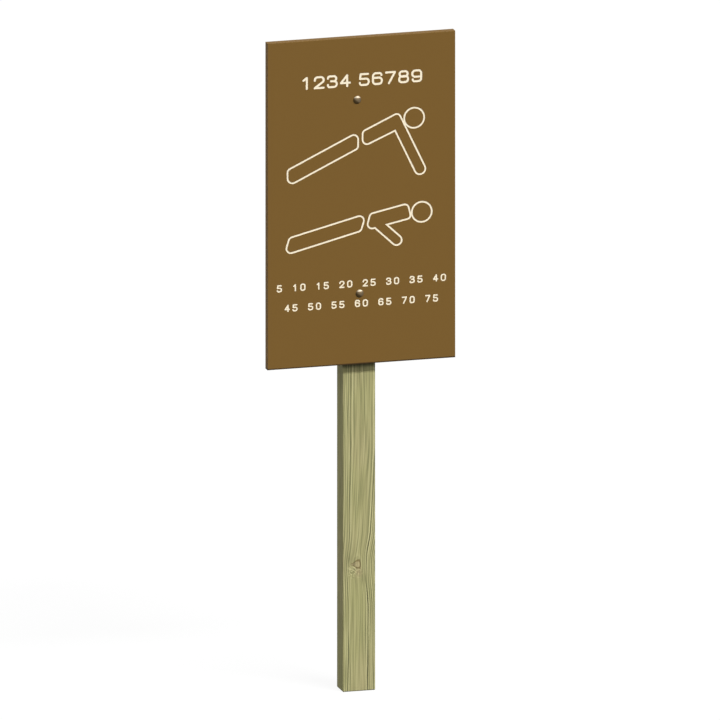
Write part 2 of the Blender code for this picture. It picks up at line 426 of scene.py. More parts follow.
# %% Digits as strokes
DIGITS = {
    "0": [[(0, 0, 1), (1, 0, 1), (1, 1, 1), (0, 1, 1)]],
    "1": [[(0.2, 0.77, 0), (0.58, 1, 0)], [(0.58, 1, 0), (0.58, 0, 0)]],
    "2": [[(0, 0.7, 0), (0, 1, 1), (1, 1, 1), (1, 0.6, 0.8), (0, 0, 0)], [(0, 0, 0), (1, 0, 0)]],
    "3": [
        [(0, 0.8, 0), (0, 1, 0.7), (0.94, 1, 0.84), (0.94, 0.54, 0.84), (0.42, 0.54, 0)],
        [(0.36, 0.54, 0), (1, 0.54, 1), (1, 0, 1), (0, 0, 0.7), (0, 0.22, 0)],
    ],
    "4": [[(0.7, 1, 0), (0, 0.3, 0)], [(0, 0.3, 0), (1, 0.3, 0)], [(0.7, 1, 0), (0.7, 0, 0)]],
    "5": [
        [(0.92, 1, 0), (0.08, 1, 0)],
        [(0.08, 1, 0), (0.03, 0.57, 0)],
        [(0.03, 0.57, 0), (1, 0.57, 1), (1, 0, 1), (0, 0, 0.7), (0, 0.2, 0)],
    ],
    "6": [[(0.05, 0.58, 0), (1, 0.58, 1), (1, 0, 1), (0, 0, 1), (0, 1, 1), (0.95, 1, 0.7), (0.95, 0.8, 0)]],
    "7": [[(0, 1, 0), (1, 1, 0)], [(1, 1, 0), (0.32, 0, 0)]],
    "8": [
        [(0, 0, 1), (1, 0, 1), (1, 0.56, 1), (0, 0.56, 1)],
        [(0.05, 0.52, 0.85), (0.95, 0.52, 0.85), (0.95, 1, 0.85), (0.05, 1, 0.85)],
    ],
    "9": [[(0.95, 0.42, 0), (0, 0.42, 1), (0, 1, 1), (1, 1, 1), (1, 0, 1), (0.05, 0, 0.7), (0.05, 0.2, 0)]],
}
LARGEST_RADIUS = 0.27


def digit_lines(digit, width, height):
    """A digit's lines in millimetres. Width and height are those of its middle line."""
    scale = np.array([width, height, min(width / 2, LARGEST_RADIUS * height)])
    return [rounded_line(np.array(corners) * scale) for corners in DIGITS[digit]]


# %% Rows of numbers
TITLE = {"high": 27.5, "wide": 23.5, "line": 4.4, "step": 28.2, "gap": 12.5}
SMALL = {"high": 15.5, "wide": 11.4, "line": 2.9, "step": 16.8, "gap": 16.8}
ROWS = {
    "title_numbers": {"text": "1234 56789", "up": 595.5, **TITLE},
    "first_row_numbers": {"text": "5 10 15 20 25 30 35 40", "up": 165.5, **SMALL},
    "second_row_numbers": {"text": "45 50 55 60 65 70 75", "up": 122.5, **SMALL},
}


def row_places(row):
    """Where each digit of a row starts, with the row centred on the board: (digit, X, Z)."""
    text = row["text"]
    steps = np.array([row["gap"] if c == " " else row["step"] for c in text])
    starts = np.cumsum(steps) - steps
    left_end = row["line"] / 2 - (starts[-1] + row["wide"]) / 2
    up = board_low[2] + (row["up"] + row["line"] / 2) * MM
    return [(c, board_middle[0] + (left_end + at) * MM, up) for c, at in zip(text, starts) if c != " "]


# %% Solids of a row
def row_solids(row, section_of):
    """Points and faces of a row. Each digit is made once, and its copies are the same points moved."""
    section = section_of(row["line"] * MM)
    shapes = {}
    for digit in sorted(set(row["text"]) - {" "}):
        lines = digit_lines(digit, row["wide"] - row["line"], row["high"] - row["line"])
        shapes[digit] = one_skin(f"digit_{digit}", [placed(line, 0, 0) for line in lines], section)
    parts = []
    for digit, across, up in row_places(row):
        points, faces = shapes[digit]
        parts.append((points + [across, 0, up], faces))
    return parts


# %% [markdown]
# ## Coach bolts
#
# A coach bolt has a low domed head, a square neck that locks it in the board, and a thread at the far end.
# It could be put together from a sphere, a box and a cylinder. Instead it is one surface: at each place
# along the bolt, the distance from its axis is a function of the angle. It gives a circle on the head and the
# shank, a square with soft corners on the neck, and a wave round the thread.

# %% Sizes of the bolts
BOLT_COLUMNS = 96
BOLT_ANGLES = round_angles(BOLT_COLUMNS)
SHANK_RADIUS = 3 * MM
NECK_HALF = 3.25 * MM
NECK_LENGTH = 4.6 * MM
NECK_CORNER = 1.3
HEAD_RIM = 0.5 * MM
DOME_STEPS = 24
RIM_STEPS = 5
THREAD_PITCH = 1.0 * MM
THREAD_DEPTH = 0.54 * MM
THREAD_LENGTH = 20 * MM
THREAD_STEPS = 10
END_CHAMFER = 0.7 * MM
HOLE_CLEARANCE = 0.3 * MM
BORE_RADIUS = SHANK_RADIUS + HOLE_CLEARANCE

bolt_low, bolt_high = corners_of("upper_bolt")
head_radius = (bolt_high[0] - bolt_low[0]) / 2
head_top = bolt_low[1]
head_seat = board_front - HOLE_CLEARANCE
bolt_end = bolt_high[1]
print(f"head {2000 * head_radius:.1f} mm across and {1000 * (head_seat - head_top):.1f} mm high")


# %% Distance from the axis
def soft_rim(face, radius, soft, facing):
    """A rim's quarter circle as (y, radius) rows, to a face that looks to the back (1) or front (-1)."""
    turn = np.linspace(0, np.pi / 2, RIM_STEPS + 1)
    return np.stack([face - facing * soft * (1 - np.sin(turn)), radius - soft * (1 - np.cos(turn))], -1)


def head_rows():
    """Dome and rim as (y, radius). For crown height c and radius r, the sphere's is (r^2 + c^2) / 2c."""
    crown = head_seat - HEAD_RIM - head_top
    sphere = (head_radius**2 + crown**2) / (2 * crown)
    angles = np.linspace(0, math.asin(head_radius / sphere), DOME_STEPS + 1)
    dome = np.stack([head_top + sphere * (1 - np.cos(angles)), sphere * np.sin(angles)], -1)
    return np.concatenate([dome, soft_rim(head_seat, head_radius, HEAD_RIM / 2, 1)])


def square_radius(half):
    """A square's distance from its middle: half its width over the larger of |cos| and |sin|.

    A circle of NECK_CORNER times half its width rounds the corners.
    """
    larger = np.maximum(np.abs(np.cos(BOLT_ANGLES)), np.abs(np.sin(BOLT_ANGLES)))
    return np.minimum(half / larger, half * NECK_CORNER)


def thread_radius(y):
    """A V thread: a wave, clipped to a flat crest and root, moves one pitch along the shank in one turn."""
    wave = np.abs(2 * np.mod(y[:, None] / THREAD_PITCH - BOLT_ANGLES[None, :] / (2 * np.pi), 1) - 1)
    return SHANK_RADIUS - THREAD_DEPTH * np.clip(1.3 * wave - 0.15, 0, 1)


# %% A turned grid as a solid
def about_axis(name, x, z, y, radius, wrap=False):
    """A solid about an axis along Y: point (i, j) is at y[i], at radius[i, j] and angle j from the axis.

    Rows of no radius close the ends, or the last row joins the first where the grid wraps.
    """
    across = x + radius * np.cos(BOLT_ANGLES)
    up = z + radius * np.sin(BOLT_ANGLES)
    points = np.stack([across, np.broadcast_to(y[:, None], radius.shape), up], -1)
    return make_object(name, points.reshape(-1, 3), grid_faces(*radius.shape, wrap_rows=wrap))


# %% The whole bolt
def bolt_solid(name, x, z):
    """A coach bolt from the top of its dome to its chamfered end."""
    head = head_rows()
    neck_y = head_seat + np.array([0, NECK_LENGTH])
    neck = np.broadcast_to(square_radius(NECK_HALF), (2, BOLT_COLUMNS))
    thread_start = bolt_end - THREAD_LENGTH
    shank_y = np.array([head_seat + NECK_LENGTH, thread_start - THREAD_PITCH])
    shank = np.full((2, BOLT_COLUMNS), SHANK_RADIUS)
    thread_y = np.linspace(thread_start, bolt_end, int(THREAD_LENGTH / THREAD_PITCH * THREAD_STEPS) + 1)
    thread = thread_radius(thread_y)
    thread[0] = SHANK_RADIUS - THREAD_DEPTH
    cone = SHANK_RADIUS - END_CHAMFER + (bolt_end - thread_y)
    thread = np.minimum(thread, cone[:, None])
    y = np.concatenate([head[:, 0], neck_y, shank_y, thread_y, [bolt_end]])
    circles = np.broadcast_to(head[:, 1:], (len(head), BOLT_COLUMNS))
    radius = np.concatenate([circles, neck, shank, thread, np.zeros((1, BOLT_COLUMNS))])
    return about_axis(name, x, z, y, radius)


# %% The hole for a bolt
def bolt_hole(x, z):
    """A cutter like the bolt's neck and shank, grown by the clearance."""
    square = square_radius(NECK_HALF + HOLE_CLEARANCE)
    circle = np.full(BOLT_COLUMNS, BORE_RADIUS)
    nothing = np.zeros(BOLT_COLUMNS)
    neck_end = head_seat + NECK_LENGTH + HOLE_CLEARANCE
    y = np.array([board_front - 2 * MM] * 2 + [neck_end] * 2 + [board_back + 2 * MM] * 2)
    radius = np.stack([nothing, square, square, circle, circle, nothing])
    return taken_apart(about_axis("bolt_hole", x, z, y, radius))


# %% [markdown]
# ## The board
#
# The board is one sheet. Its sawn corners are sharp, and its long edges are eased with sandpaper. A cube
# with a Bevel modifier would round the corners too. Here the sheet is a stack of rectangles at growing
# depths, and how far their sides have moved in is a function of the depth.

# %% How far the sides move in
EASED_RADIUS = 0.8 * MM
EASED_STEPS = 5


def eased(depth, radius):
    """How far an eased edge has moved in at a depth d below the face: r - sqrt(r^2 - (r - d)^2)."""
    left = np.clip(radius - depth, 0, radius)
    return radius - np.sqrt(radius**2 - left**2)


# %% The plain board
def plain_board(name):
    """The board without its cuts: rectangles from the front to the back, with walls between them."""
    thickness = board_back - board_front
    turn = np.linspace(0, np.pi / 2, EASED_STEPS + 1)
    edge_depths = EASED_RADIUS * (1 - np.cos(turn))
    depths = np.concatenate([edge_depths, thickness - edge_depths[::-1]])
    inset = eased(depths, EASED_RADIUS) + eased(thickness - depths, EASED_RADIUS)
    x0, x1 = board_low[0] + inset, board_high[0] - inset
    z0, z1 = board_low[2] + inset, board_high[2] - inset
    y = board_front + depths
    grid = np.stack([np.stack([x, y, z], -1) for x, z in ((x0, z0), (x1, z0), (x1, z1), (x0, z1))], 1)
    rows, columns = grid.shape[:2]
    faces = grid_faces(rows, columns, wrap_rows=False).tolist()
    faces += [list(range(columns)), list(range((rows - 1) * columns, rows * columns))]
    return make_object(name, grid.reshape(-1, 3), faces)


# %% Cut the board
board = plain_board("engraved_board")
cuts = [one_skin("groove", lines, groove_section(LINE_WIDTH)) for lines in figure_lines.values()]
for row in ROWS.values():
    cuts += row_solids(row, groove_section)
for x, z in bolt_places.values():
    cuts.append(bolt_hole(x, z))
boolean(board, make_object("all_cuts", *joined(cuts)), "DIFFERENCE")
print("the board has", len(board.data.polygons), "faces after", len(cuts), "cuts")

# %% Paint in the grooves
paint_pieces = {}
for name, lines in figure_lines.items():
    paint_pieces[name] = make_object(f"{name}_paint", *one_skin(name, lines, paint_section(LINE_WIDTH)))
for name, row in ROWS.items():
    paint_pieces[name] = make_object(f"{name}_paint", *joined(row_solids(row, paint_section)))

# %% Bolts
bolts = {place: bolt_solid(f"{place}_coach_bolt", x, z) for place, (x, z) in bolt_places.items()}

# %% [markdown]
# ## Washers and nuts
#
# Behind the post, each bolt has a wide washer, so that the nut can't sink into the timber, and a hexagon
# nut. A washer is a section carried round a circle. The nut's outline is a function of the angle too: a
# hexagon's distance from its middle is half its width over the cosine of the angle from the nearest flat.
# Near both faces, a cone takes off the corners, which leaves the curved line that every machined nut shows.


# %% Washer
WASHER_RIM = 0.35 * MM


def washer_solid(place):
    """A washer with a softly rounded rim, closed round its bore."""
    low, high = corners_of(f"{place}_washer")
    outer = (high[0] - low[0]) / 2
    front = soft_rim(low[1], outer, WASHER_RIM, -1)[::-1]
    back = soft_rim(high[1], outer, WASHER_RIM, 1)
    rows = np.concatenate([[(low[1], BORE_RADIUS)], front, back, [(high[1], BORE_RADIUS)]])
    radius = np.broadcast_to(rows[:, 1:], (len(rows), BOLT_COLUMNS))
    return about_axis(f"{place}_timber_washer", *bolt_places[place], rows[:, 0], radius, wrap=True)


# %% Nut
NUT_CHAMFER_ANGLE = math.radians(30)
NUT_CHAMFER_DEPTH = 0.9 * MM
NUT_FACE_SHARE = 0.97
NUT_LEAD = 0.4 * MM


def nut_solid(place):
    """A hexagon nut: its radius is the smaller of the hexagon's and that of a cone at each face."""
    low, high = corners_of(f"{place}_nut")
    thickness = high[1] - low[1]
    half = (high[2] - low[2]) / 2
    hexagon = half / np.cos(np.mod(BOLT_ANGLES, np.pi / 3) - np.pi / 6)
    near_face = np.linspace(0, NUT_CHAMFER_DEPTH, 10)
    depth = np.concatenate([near_face, thickness - near_face[::-1]])
    from_face = np.minimum(depth, thickness - depth)
    cone = half * NUT_FACE_SHARE + from_face / math.tan(NUT_CHAMFER_ANGLE)
    outside = np.minimum(hexagon[None, :], cone[:, None])
    y = np.concatenate([[low[1] + NUT_LEAD, low[1]], low[1] + depth, [high[1], high[1] - NUT_LEAD]])
    inside = np.array([[BORE_RADIUS], [BORE_RADIUS + NUT_LEAD]]) * np.ones(BOLT_COLUMNS)
    radius = np.concatenate([inside, outside, inside[::-1]])
    return about_axis(f"{place}_hex_nut", *bolt_places[place], y, radius, wrap=True)


washers = {place: washer_solid(place) for place in bolt_places}
nuts = {place: nut_solid(place) for place in bolt_places}

# %% [markdown]
# ## Short ways to write shaders
#
# A procedural finish is a small calculation, repeated for each point of a surface. These helpers let it be
# written as one. Each step is a node, in the tree that its values come from. Effects that finishes share are
# put into node groups.


# %% Nodes and links
def put(socket, value):
    """Fills a socket with a link or a plain value."""
    if isinstance(value, bpy.types.NodeSocket):
        socket.id_data.links.new(value, socket)
    else:
        socket.default_value = value


def add(tree, kind, inputs=None, **settings):
    """A new shader node, with its settings, and its inputs filled by name or number."""
    made = tree.nodes.new(f"ShaderNode{kind}")
    for name, value in settings.items():
        setattr(made, name, value)
    for socket, value in (inputs or {}).items():
        put(made.inputs[socket], value)
    return made


def node(kind, inputs, **settings):
    """The outputs of a new node, in the tree of the first socket among its inputs."""
    tree = next(value.id_data for value in inputs.values() if isinstance(value, bpy.types.NodeSocket))
    return add(tree, kind, inputs, **settings).outputs


# %% Numbers
def calc(operation, *values):
    """The result of one Math node."""
    return node("Math", dict(enumerate(values)), operation=operation)[0]


def times(product, *values):
    """The product of several values."""
    for value in values:
        product = calc("MULTIPLY", product, value)
    return product


def plus(total, *effects):
    """A value plus several effects, each (value, weight)."""
    for value, weight in effects:
        total = calc("MULTIPLY_ADD", value, weight, total)
    return total


def ramp(value, start, end, low=0.0, high=1.0):
    """A value mapped smoothly from the span start..end to the span low..high."""
    inputs = dict(enumerate((value, start, end, low, high)))
    return node("MapRange", inputs, interpolation_type="SMOOTHSTEP")[0]


# %% Vectors and colours
def vector(operation, *values):
    """The vector that one Vector Math node gives."""
    return node("VectorMath", dict(enumerate(values)), operation=operation)[0]


def length(value):
    """The length of a vector."""
    return node("VectorMath", {0: value}, operation="LENGTH")[1]


def dot(first, second):
    """The dot product of two vectors."""
    return node("VectorMath", {0: first, 1: second}, operation="DOT_PRODUCT")[1]


def parts_of(value):
    """The three parts of a vector."""
    return node("SeparateXYZ", {0: value})


def from_parts(x=0.0, y=0.0, z=0.0):
    """A vector from its three parts."""
    return node("CombineXYZ", {0: x, 1: y, 2: z})[0]


def mixed(factor, first, second):
    """Two colours mixed."""
    return node("Mix", {0: factor, 6: first, 7: second}, data_type="RGBA")[2]


def scaled(colour, tone):
    """A colour times a tone."""
    return node("VectorMath", {0: colour, "Scale": tone}, operation="SCALE")[0]


# %% Node groups
def new_group(name, inputs, numbers, vectors=()):
    """A shader node group: a place, inputs as {label: default}, and the labels of its outputs."""
    tree = bpy.data.node_groups.new(name, "ShaderNodeTree")
    for label, value in {"Place": (0, 0, 0), **inputs}.items():
        kind = "NodeSocketVector" if isinstance(value, tuple) else "NodeSocketFloat"
        tree.interface.new_socket(label, in_out="INPUT", socket_type=kind).default_value = value
    for labels, kind in ((numbers, "NodeSocketFloat"), (vectors, "NodeSocketVector")):
        for label in labels:
            tree.interface.new_socket(label, in_out="OUTPUT", socket_type=kind)
    return tree, tree.nodes.new("NodeGroupInput").outputs, tree.nodes.new("NodeGroupOutput").inputs


def use_group(group, place, **inputs):
    """A group's outputs at a place. An input's name is written with _ for a space."""
    inputs = {label.replace("_", " "): value for label, value in inputs.items()}
    return add(place.id_data, "Group", {"Place": place, **inputs}, node_tree=group).outputs


# %% [markdown]
# ## Shared effects
#
# Mottle is a soft, cloudy change of tone, which can be stretched, as fibres are in timber. Edge tells how
# near a point is to an edge of a box-shaped piece, where hands and weather wear it first. Both read the
# piece's own coordinates, so they stay put when it moves.

# %% Mottle
mottle, given, result = new_group("mottle", {"Size": 0.01, "Stretch": (1, 1, 1), "Detail": 2.0}, ["Value"])
cell = vector("DIVIDE", vector("DIVIDE", given["Place"], given["Size"]), given["Stretch"])
noise = node("TexNoise", {"Vector": cell, "Scale": 1.0, "Detail": given["Detail"]})[0]
put(result["Value"], times(calc("SUBTRACT", noise, 0.5), 3.0))


def cloudy(place, size, detail=2.0, stretch=(1, 1, 1)):
    """Mottle of one size: about -0.8 to 0.8, and 0 on the whole."""
    return use_group(mottle, place, Size=size, Stretch=stretch, Detail=detail)[0]


# %% Edge
edge, given, result = new_group(
    "edge", {"Middle": (0, 0, 0), "Half Size": (1, 1, 1), "Reach": 0.003}, ["Value"]
)
offset = vector("ABSOLUTE", vector("SUBTRACT", given["Place"], given["Middle"]))
inside = parts_of(vector("SUBTRACT", given["Half Size"], offset))
nearer = calc("MINIMUM", inside[0], inside[1])
farther = calc("MAXIMUM", inside[0], inside[1])
second = calc("MAXIMUM", nearer, calc("MINIMUM", farther, inside[2]))
put(result["Value"], ramp(second, given["Reach"], 0.0))


def near_edge(place, low, high, reach):
    """How near a point is to an edge of the box between two corners: 1 on the edge, 0 beyond the reach."""
    middle = tuple((low + high) / 2)
    return use_group(edge, place, Middle=middle, Half_Size=tuple((high - low) / 2), Reach=reach)[0]


# %% [markdown]
# ## Timber
#
# The post is sawn from a small trunk, with the heart of the tree inside it, and is green from its treatment
# against rot. A picture of wood would not match up at its corners. So the tree is calculated: each point's
# distance from the heart, counted in years, says which part of a growth ring is there. The faces cut through
# the rings as a saw does. In the middle of a face the rings lie almost flat, and hardly show. Near its sides
# they are cut steeply, and show as clear lines.
#
# Two things bend the rings. The trunk leaned a little, so the lines on one side run at a slant. And they had
# to grow round a branch, which the saw has left as a knot, with curled wood under it.

# %% Sockets of the timber group
rings, given, result = new_group(
    "growth_rings",
    {
        "Facing": (0, 0, 1), "Heart": (-0.0065, 0.0046, 0), "Ring Width": 2.9 * MM, "First Year": 8.0,
        "Lean": 14 * MM, "Lean Low": 0.27, "Lean High": 0.56,
        "Knot Middle": (-0.0032, 0, 0.2725), "Knot Size": (0.0054, 1, 0.0082),
    },
    ["Lines", "Knot", "Knot Skin", "Knot Rings", "Curl", "Calm"],
    vectors=["Grain Place"],
)


def waver(place, frequency, reach):
    """A vector that changes softly from place to place: noise with a frequency and a reach on each axis."""
    noise = node("TexNoise", {"Vector": vector("MULTIPLY", place, frequency), "Scale": 1.0})[1]
    return vector("MULTIPLY", vector("SUBTRACT", noise, (0.5, 0.5, 0.5)), reach)


def shares(place, middle, reach):
    """How far a point lies from a middle, flat on the front face, as shares of the reach in X and in Z."""
    offset = vector("DIVIDE", vector("SUBTRACT", place, middle), reach)
    return vector("MULTIPLY", offset, (1.0, 0.0, 1.0))


def spot(share):
    """A soft oval spot: exp(-d^2), where d is the length of the shares."""
    return calc("EXPONENT", times(dot(share, share), -1.0))


def front_spot(place, middle, reach):
    """A soft oval spot on the front half of a piece that stands round the Z axis."""
    in_front = calc("LESS_THAN", parts_of(place)[1], 0.0)
    return times(spot(shares(place, middle, reach)), in_front)


# %% The knot: a branch cut lengthwise, blunt on its right and running out in a point on its left
# The distance from its middle is (x^4 + z^4)^(1/4), whose lines of one value are squares with round corners.
place = given["Place"]
knot_middle = given["Knot Middle"]
here = parts_of(place)
in_front = calc("LESS_THAN", here[1], parts_of(given["Heart"])[1])
knot_share = shares(place, knot_middle, given["Knot Size"])
knot_share = vector("ADD", knot_share, waver(place, (110.0, 110.0, 110.0), (0.5, 0.0, 0.5)))
along_branch = parts_of(knot_share)[0]
thickness = ramp(along_branch, -2.6, 0.3, 0.2, 1.0)
across_branch = calc("DIVIDE", parts_of(knot_share)[2], thickness)
outline = from_parts(calc("MAXIMUM", along_branch, 0.0), z=across_branch)
from_knot = calc("SQRT", length(vector("MULTIPLY", outline, outline)))
running_out = times(ramp(along_branch, -3.2, -2.2), in_front)
skin = times(ramp(from_knot, 0.62, 0.86), ramp(from_knot, 1.38, 1.12))
put(result["Knot"], times(ramp(from_knot, 1.0, 0.85), running_out))
put(result["Knot Skin"], times(skin, running_out))
knot_rings = calc("SINE", plus(1.0, (across_branch, 12.0)))
blunt_end = ramp(along_branch, -1.4, 0.4, -1.0, 1.0)
put(result["Knot Rings"], calc("ADD", knot_rings, blunt_end))

# %% Spots where the wood lies round the knot, curls under it, and is calm further down
near = times(spot(vector("MULTIPLY", knot_share, (0.4, 0.0, 0.4))), in_front)
curl_middle = vector("ADD", knot_middle, (-0.0095, 0.0, -0.0135))
curl = front_spot(place, curl_middle, (0.0095, 1.0, 0.0115))
calm_middle = vector("ADD", knot_middle, (0.0125, 0.0, -0.032))
calm = front_spot(place, calm_middle, (0.0085, 1.0, 0.012))
put(result["Curl"], curl)
put(result["Calm"], calm)

# %% Bent grain: how far the wood at a point has been pushed sideways
lean = ramp(here[2], given["Lean Low"], given["Lean High"], 0.0, given["Lean"])
above_knot = calc("SUBTRACT", here[2], given["Lean Low"])
swing_below = ramp(above_knot, -0.09, 0.0, 0.006, 0.0)
swing_above = ramp(above_knot, 0.0, 0.075, 0.0, 0.008)
lean = calc("ADD", lean, calc("ADD", swing_below, swing_above))
lean = times(lean, ramp(here[0], -0.03, 0.03, 0.35, 1.0))
from_knot_across = calc("SUBTRACT", here[0], parts_of(knot_middle)[0])
push = plus(lean, (times(from_knot_across, near), 0.45))
curled = waver(place, (170.0, 170.0, 100.0), (0.02, 0.02, 0.0))
pushed = vector("MULTIPLY", curled, from_parts(curl, curl))
pushed = vector("ADD", pushed, from_parts(push))
grain_place = vector("SUBTRACT", place, pushed)
put(result["Grain Place"], grain_place)

# %% Distance from the heart
sway = waver(place, (9.0, 9.0, 4.0), (0.008, 0.003, 0.0))
from_middle = vector("ADD", vector("SUBTRACT", grain_place, given["Heart"]), sway)
from_middle = vector("MULTIPLY", from_middle, (1.0, 1.0, 0.0))
from_heart = length(from_middle)
squareness = calc("DIVIDE", calc("ABSOLUTE", dot(from_middle, given["Facing"])), from_heart)
from_heart = plus(from_heart, (near, -0.004))

# %% From years to light and dark wood
# The wood darkens as a year's growth slows. Then the next year's light wood starts at a sharp step.
fine = parts_of(waver(grain_place, (160.0, 160.0, 12.0), (1.0, 1.0, 1.0)))
years = plus(calc("DIVIDE", from_heart, given["Ring Width"]), (fine[0], 0.5))
part = calc("FRACT", years)
counted = calc("ADD", calc("FLOOR", years), given["First Year"])
year = node("TexWhiteNoise", {"W": counted}, noise_dimensions="1D")[0]
growing = ramp(part, 0.0, 0.16, -1.0, 1.0)
slowing = ramp(part, 0.3, 0.8, 1.0, -1.0)
tone = times(calc("MINIMUM", growing, slowing), ramp(year, 0.0, 1.0, 0.4, 1.15))
tone = times(tone, plus(1.0, (fine[1], 1.8)))
clarity = calc("MAXIMUM", ramp(squareness, 0.96, 0.8, 0.04, 1.0), times(near, 0.4))
clarity = times(calc("MAXIMUM", clarity, curl), calc("SUBTRACT", 1.0, calm))
pressed = ramp(here[0], 0.0, 0.02, 1.0, 1.35)
put(result["Lines"], times(tone, clarity, pressed))

# %% [markdown]
# ## Finishes
#
# Each finish is one material around Blender's Principled shader. The tones that change over the surface are
# worked out first and then multiply the base colour.


# %% A material with its shader and coordinates
def new_material(name, roughness, specular, metallic=0.0):
    """A material, its shader's inputs, and the piece's own coordinates and facing."""
    made = bpy.data.materials.new(name)
    made.use_nodes = True
    tree = made.node_tree
    shader = tree.nodes["Principled BSDF"].inputs
    for label, value in (("Roughness", roughness), ("Specular IOR Level", specular), ("Metallic", metallic)):
        shader[label].default_value = value
    coordinates = add(tree, "TexCoord").outputs
    return made, shader, coordinates["Object"], coordinates["Normal"]


def finish_with(shader, colour, height, distance):
    """Feeds a shader its colour, and to its normal a height in shares of a distance."""
    put(shader["Base Color"], colour)
    put(shader["Normal"], node("Bump", {"Strength": 1.0, "Distance": distance, "Height": height})[0])


# %% Treated pine: its grain
STAIN_MIDDLE = -0.0012, 0.0, 0.2555
STAIN_SIZE = 0.0075, 1.0, 0.01
SHADE_MIDDLE = -0.0225, 0.0, 0.2838
SHADE_SIZE = 0.005, 1.0, 0.012

pine, shader, here, facing = new_material("treated_pine_planed", 0.75, 0.2)
timber = use_group(rings, here, Facing=facing)
fibres = cloudy(timber["Grain Place"], 1.6 * MM, 0.0, (1, 1, 55))
bands = cloudy(timber["Grain Place"], 9 * MM, 2.0, (1, 1, 12))
slanted = from_parts(dot(here, (0.7, 0.0, 0.7)), dot(here, (0.7, 0.0, -0.7)))
curls = calc("MAXIMUM", cloudy(slanted, 2.4 * MM, 0.0, (1, 2.2, 1)), -0.15)
stain = front_spot(here, STAIN_MIDDLE, STAIN_SIZE)
curled = calc("MAXIMUM", timber["Curl"], times(stain, 0.6))
tone = plus(
    0.985,
    (timber["Lines"], 0.42),
    (fibres, 0.33),
    (bands, 0.03),
    (times(curls, curled), 1.1),
    (timber["Curl"], 0.1),
    (timber["Calm"], -0.17),
    (front_spot(here, SHADE_MIDDLE, SHADE_SIZE), -0.2),
)

# %% Treated pine: its colours
GREEN_WOOD = 0.358, 0.346, 0.152, 1
TAN_WOOD = 0.385, 0.350, 0.172, 1
LIGHT_WOOD = 0.37, 0.35, 0.19, 1
DARK_WOOD = 0.350, 0.352, 0.158, 1
RESIN = 0.335, 0.284, 0.146
KNOT_SKIN = 0.185, 0.145, 0.06, 1

clouds = cloudy(here, 50 * MM, 2.0, (1, 1, 3))
wood = mixed(ramp(clouds, -0.8, 0.8), GREEN_WOOD, TAN_WOOD)
wood = mixed(ramp(tone, 1.0, 1.4, 0.0, 0.6), wood, LIGHT_WOOD)
wood = mixed(ramp(tone, 0.95, 0.65, 0.0, 0.8), wood, DARK_WOOD)
strokes = times(timber["Knot Rings"], timber["Knot"])
resin = scaled(RESIN, plus(0.98, (strokes, 0.08)))
stained = times(calc("MAXIMUM", timber["Knot"], stain), 0.95)
wood = mixed(stained, wood, resin)
wood = mixed(times(timber["Knot Skin"], 0.85), wood, KNOT_SKIN)

# %% [markdown]
# The post's tone changes near its edges, its foot and the board. The edge at the front left is worn light,
# and the other edges are dark. The lowest millimetres are darkened: painted shade where the post meets the
# floor. Towards the board the wood is darker, most of all on the sides: painted shade, where the board hides
# the light. In the last 20 mm the front is lighter again: painted light that lifts the board's shadow there.
# Right under the board a dark band is painted shade: all over the front, and on the sides close to the board.

# %% Treated pine: its worn edges, and painted shade and light at its foot and under the board
up_post = parts_of(here)[2]
from_board = calc("SUBTRACT", up_post, float(board_low[2]))
sideways = calc("ABSOLUTE", parts_of(facing)[0])
frontward = calc("MAXIMUM", dot(facing, (0.0, -1.0, 0.0)), 0.0)

worn = near_edge(here, post_low, post_high, 3.5 * MM)
wear = ramp(dot(here, (1.0, 1.0, 0.0)), -0.045, -0.02, 0.1, -0.2)
# Painted shade: the lowest 2.7 mm of the post darken to half, where it meets the floor.
painted_low_shade = ramp(up_post, 2.7 * MM, 1.0 * MM, 1.0, 0.5)
# Painted shade: towards the board the wood is darkened, most on the sides, where the board hides the light.
painted_shade_depth = plus(0.95, (sideways, -0.15))
painted_board_shade = ramp(from_board, -80 * MM, -20 * MM, 1.0, painted_shade_depth)
# Painted light: in the last 20 mm under the board the front is lightened, which lifts the board's shadow
# there.
painted_light_share = plus(1.0, (frontward, 0.2))
painted_light_under_board = ramp(from_board, -22 * MM, -17 * MM, 1.0, painted_light_share)
# Painted shade: a dark band from 15 mm under the board up to it, over the front and on the sides near the
# board.
under_board = times(ramp(from_board, -15 * MM, -5 * MM), ramp(from_board, 20 * MM, 0.0))
beside_board = times(sideways, ramp(parts_of(here)[1], 2 * MM, -18 * MM))
painted_contact_shade = plus(times(beside_board, -0.4), (frontward, -0.64))
tone = plus(tone, (worn, wear))
tone = times(tone, painted_low_shade, painted_light_under_board, painted_board_shade, plus(1.0, (painted_contact_shade, under_board)))
height = plus(times(fibres, 0.5), (timber["Lines"], -0.4))
finish_with(shader, scaled(wood, tone), height, 0.15 * MM)

# %% Board
BROWN = 0.177, 0.097, 0.0228
RUBBED_BROWN = 0.26, 0.18, 0.09, 1
# The colour of painted shade along the board's lower edge.
PAINTED_SHADE_BROWN = 0.035, 0.02, 0.008, 1

sheet, shader, here, facing = new_material("board_sheet_satin", 0.62, 0.13)
clouds = cloudy(here, 60 * MM, 3.0)
grain = cloudy(here, 0.9 * MM)
rub = near_edge(here, board_low, board_high, 2.2 * MM)
brown = scaled(BROWN, plus(1.0, (clouds, 0.006), (grain, 0.012)))
brown = mixed(times(rub, 0.05), brown, RUBBED_BROWN)
above_edge = calc("SUBTRACT", parts_of(here)[2], float(board_low[2]))
# Painted shade: the lowest 2 to 3.5 mm of the board's face darken towards its lower edge.
painted_low_shade = ramp(plus(above_edge, (clouds, 0.2 * MM)), 3.5 * MM, 2.1 * MM, 0.0, 0.85)
finish_with(shader, mixed(painted_low_shade, brown, PAINTED_SHADE_BROWN), grain, 0.02 * MM)

# %% Paint
CREAM = 0.93, 0.83, 0.63

